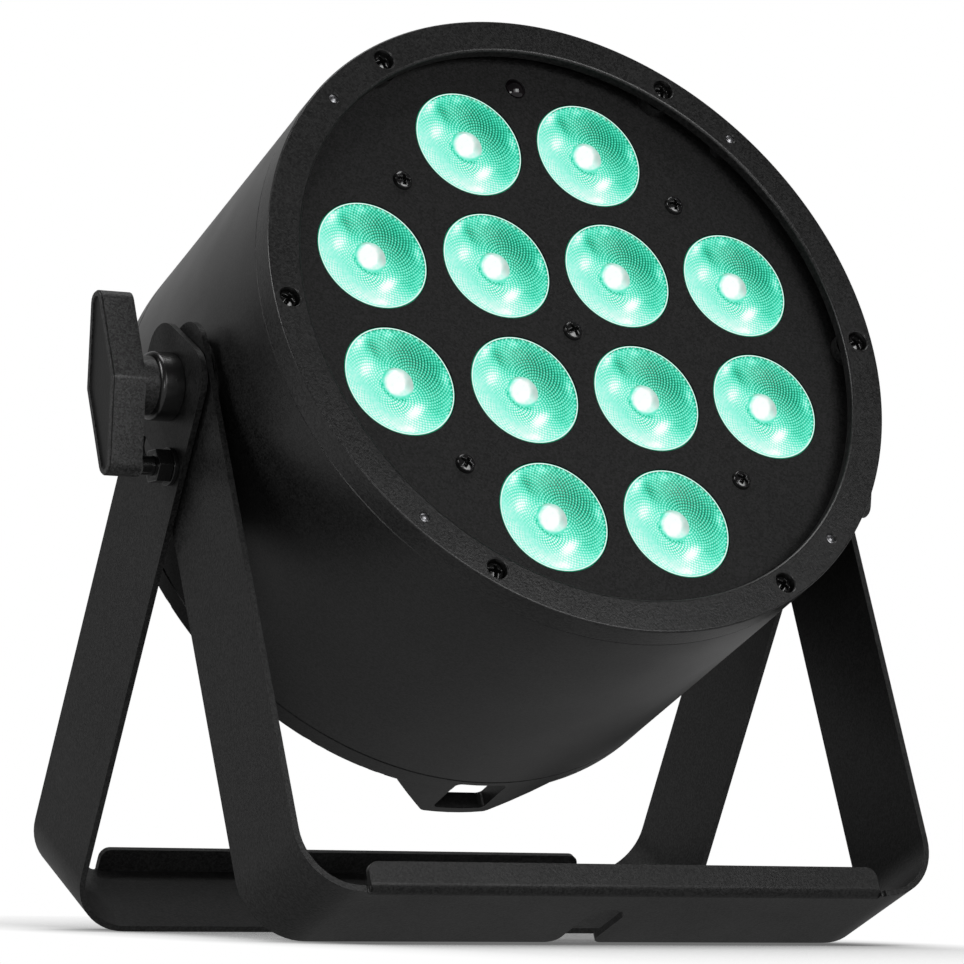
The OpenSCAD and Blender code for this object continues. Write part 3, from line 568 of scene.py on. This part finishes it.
def lens_mesh(radius):
    """A dimpled collimator seen from the front, with a plain cone behind it. Its rim is at z = 0. Each point
    keeps the lens's painted light as its tone, and the dome's painted shade.
    """
    dome, face = 0.277 * radius, 0.948 * radius
    tree = dimples(dome, face)
    rings, spokes = 84, 320
    inner = radius * 0.004
    radii = [inner + (face - inner) * i / (rings - 1) for i in range(rings)]
    radii += [radius * share for share in (0.951, 0.966, 0.9685, 0.984, 0.989, 1.0)]
    verts, tone, painted_dome_shade = [], [], []
    for r in radii:
        for k, (x, y) in enumerate(circle(r, spokes)):
            z = lens_height(r, dome, face) - (0.3 * MM if r >= radius * 0.99 else 0)
            grey = 0.0
            if r <= dome:
                value, grey = painted_dome_light(x, y, z, dome)
            elif r <= face:
                near = tree.find((x, y, 0))[2]
                dot = max(1 - (near / (DIMPLE_PITCH * 0.5)) ** 2, 0)
                z += 0.2 * MM * dot
                value = painted_lens_light(x / radius, y / radius, dot)
            else:
                value = painted_rim_light(r / radius, 2 * math.pi * k / spokes)
            verts.append((x, y, z))
            tone.append(value)
            painted_dome_shade.append(grey)
    centre = len(verts)
    verts.append((0, 0, lens_height(0, dome, face)))
    tone.append(1.0)
    painted_dome_shade.append(0.0)
    base = len(verts)
    for r, z in ((radius, SKIRT_TOP), (radius * 0.3, SKIRT_END), (0, SKIRT_END)):
        for x, y in circle(r, spokes):
            verts.append((x, y, z))
            tone.append(0.1)
            painted_dome_shade.append(0.0)

    def band(a, b):
        return [(a + k, b + k, b + (k + 1) % spokes, a + (k + 1) % spokes) for k in range(spokes)]

    def fan(point, a):
        return [(point, a + k, a + (k + 1) % spokes) for k in range(spokes)]

    faces = [face for i in range(len(radii) - 1) for face in band(i * spokes, (i + 1) * spokes)]
    faces += fan(centre, 0)
    faces += band(centre - spokes, base) + band(base, base + spokes)
    faces += [corners[::-1] for corners in fan(base + 2 * spokes, base + spokes)]
    mesh = bpy.data.meshes.new("lens")
    mesh.from_pydata(verts, [], faces)
    for name, values in (("tone", tone), ("painted_dome_shade", painted_dome_shade)):
        mesh.attributes.new(name, "FLOAT", "POINT").data.foreach_set("value", values)
    mesh.shade_smooth()
    mesh.materials.append(lens_material())
    return mesh


def lens_material():
    """Clear plastic whose emission shows the mesh's painted light as colours, under the dome's painted grey
    shade.
    """
    n = Nodes(bpy.data.materials.new("lens_acrylic"))
    value = n.math("ADD", n.attribute("tone"), n.ramp(n.noise(0.0012), -0.05, 0.05, 0.3, 0.7))
    ramp = n.add("ValToRGB", Fac=value)
    # colours of the painted light, from painted shade to painted highlight
    stops = [(0.0, (0.0, 0.10, 0.05)), (0.25, (0.0, 0.36, 0.20)), (0.5, (0.05, 0.76, 0.50)),
             (0.75, (0.34, 0.92, 0.76)), (1.0, (1.0, 1.0, 1.0))]
    band = ramp.color_ramp
    while len(band.elements) < len(stops):
        band.elements.new(0.5)
    for element, (place, colour) in zip(band.elements, stops):
        element.position = place
        element.color = rgb(*colour)
    # painted light: the lens glows, bright for the camera and faint for the rest, though it is no lamp
    n.set(n.shader, Base_Color=rgb(0.01, 0.06, 0.04), Roughness=0.15,
          Emission_Color=n.mix(n.attribute("painted_dome_shade"), ramp.outputs["Color"], rgb(0.42, 0.5, 0.47)),
          Emission_Strength=n.ramp(n.camera_ray(), 0.12, 0.97))
    return n.owner


def lenses():
    parts = sorted(islands("lens_optics"), key=lambda part: (-round(part[0].y, 3), part[0].x))
    _, low, high = parts[0]
    mesh = lens_mesh((high.x - low.x) / 2)
    for i, (centre, _, _) in enumerate(parts):
        place = HEAD @ Matrix.Translation((centre.x, centre.y, PLATE_FRONT - 0.3 * MM))
        add_piece("lens_%02d" % (i + 1), mesh, place, "lens_optics")


lenses()
front_ring()
screws("bezel_screws", 2.6 * MM)
screws("plate_screws", 1.9 * MM)


# ---------------------------------------------------------------- stage
def camera():
    """A long lens near floor level, in front and to the left of the lamp."""
    heading, pitch, roll = math.radians(30.87), math.radians(1.76), math.radians(0.917)
    forward = Vector((math.sin(heading) * math.cos(pitch), math.cos(heading) * math.cos(pitch), math.sin(pitch)))
    level = Vector((math.cos(heading), -math.sin(heading), 0))
    right = level * math.cos(roll) + level.cross(forward) * math.sin(roll)
    turned = Matrix((right, right.cross(forward), -forward)).transposed().to_4x4()
    data = bpy.data.cameras.new("camera")
    data.sensor_width = 36
    data.lens = 184.83
    data.shift_x, data.shift_y = -0.0614, 0.2070
    data.clip_start, data.clip_end = 0.05, 60
    obj = linked("camera", data)
    obj.matrix_world = Matrix.Translation((-0.806648, -1.380036, 0.033842)) @ turned
    bpy.context.scene.camera = obj


def area_light(name, place, aim, size, watts):
    data = bpy.data.lights.new(name, "AREA")
    data.shape = "RECTANGLE"
    data.size, data.size_y = size
    data.energy = watts
    obj = linked(name, data)
    obj.location = place
    obj.rotation_mode = "QUATERNION"
    obj.rotation_quaternion = (Vector(aim) - Vector(place)).to_track_quat("-Z", "Y")


def floor():
    """A plain white floor with a painted shadow: the camera sees it darken only near and under the stand."""
    mesh = bpy.data.meshes.new("floor")
    mesh.from_pydata([(-8, -8, 0), (8, -8, 0), (8, 8, 0), (-8, 8, 0)], [], [(0, 1, 2, 3)])
    n = Nodes(bpy.data.materials.new("floor_white"))
    near = n.add("AmbientOcclusion", Distance=0.3)
    near.samples = 12
    open_sky = near.outputs["AO"]
    # painted shadow: darker where the stand hides the sky, and only within the stand's width
    under = n.ramp(n.math("ABSOLUTE", n.x_of(n.coords())), 1, 0, 0.09, 0.14)
    shade = n.math("MULTIPLY", n.ramp(open_sky, 0.85, 0.0, 0.45, 0.98), under)
    plain = n.add("Emission", Color=rgb(1, 1, 1), Strength=n.math("SUBTRACT", 1.0, shade))
    grain = n.mix(n.noise(0.002), rgb(0.95, 0.95, 0.95), rgb(1, 1, 1))
    bounce = n.add("Emission", Color=grain, Strength=n.ramp(open_sky, 0.25, 0.38, 0.3, 0.95))
    mix = n.add("MixShader")
    for socket, value in zip(mix.inputs, (n.camera_ray(), bounce.outputs[0], plain.outputs[0])):
        n.feed(socket, value)
    n.set(n.tree.nodes["Material Output"], Surface=mix.outputs[0])
    mesh.materials.append(n.owner)
    linked("floor", mesh)


def world():
    """White for the camera. For the object, a bright wall behind it and a dim room in front."""
    scene_world = bpy.data.worlds.new("world")
    bpy.context.scene.world = scene_world
    n = Nodes(scene_world)
    n.tree.nodes.clear()
    toward = n.add("VectorMath")
    toward.operation = "DOT_PRODUCT"
    n.feed(toward.inputs[0], n.coords("Generated"))
    n.feed(toward.inputs[1], (0.35, 0.93, 0.1))
    wall = n.ramp(toward.outputs["Value"], 0.07, 0.5, 0.55, 0.97)
    back = n.add("Background", Color=rgb(1, 1, 1), Strength=n.math("MAXIMUM", wall, n.camera_ray()))
    n.add("OutputWorld", Surface=back.outputs[0])


camera()
floor()
world()
area_light("key", (-1.8, 0.3, 1.25), (0, 0, 0.18), (0.9, 0.9), 19)
area_light("side", (-1.3, -1.7, 0.12), (0, 0, 0.2), (0.5, 0.5), 5.5)
area_light("fill", (0.2, -2.2, 0.7), (0, 0, 0.15), (1.4, 1.0), 6)
area_light("low", (0.30, -0.85, 0.50), (0, 0, 0.12), (0.5, 0.4), 2.8)
area_light("top", (0.2, 0.2, 2.2), (0, 0, 0.2), (1.0, 1.0), 12)
bpy.context.scene.view_settings.view_transform = "Standard"
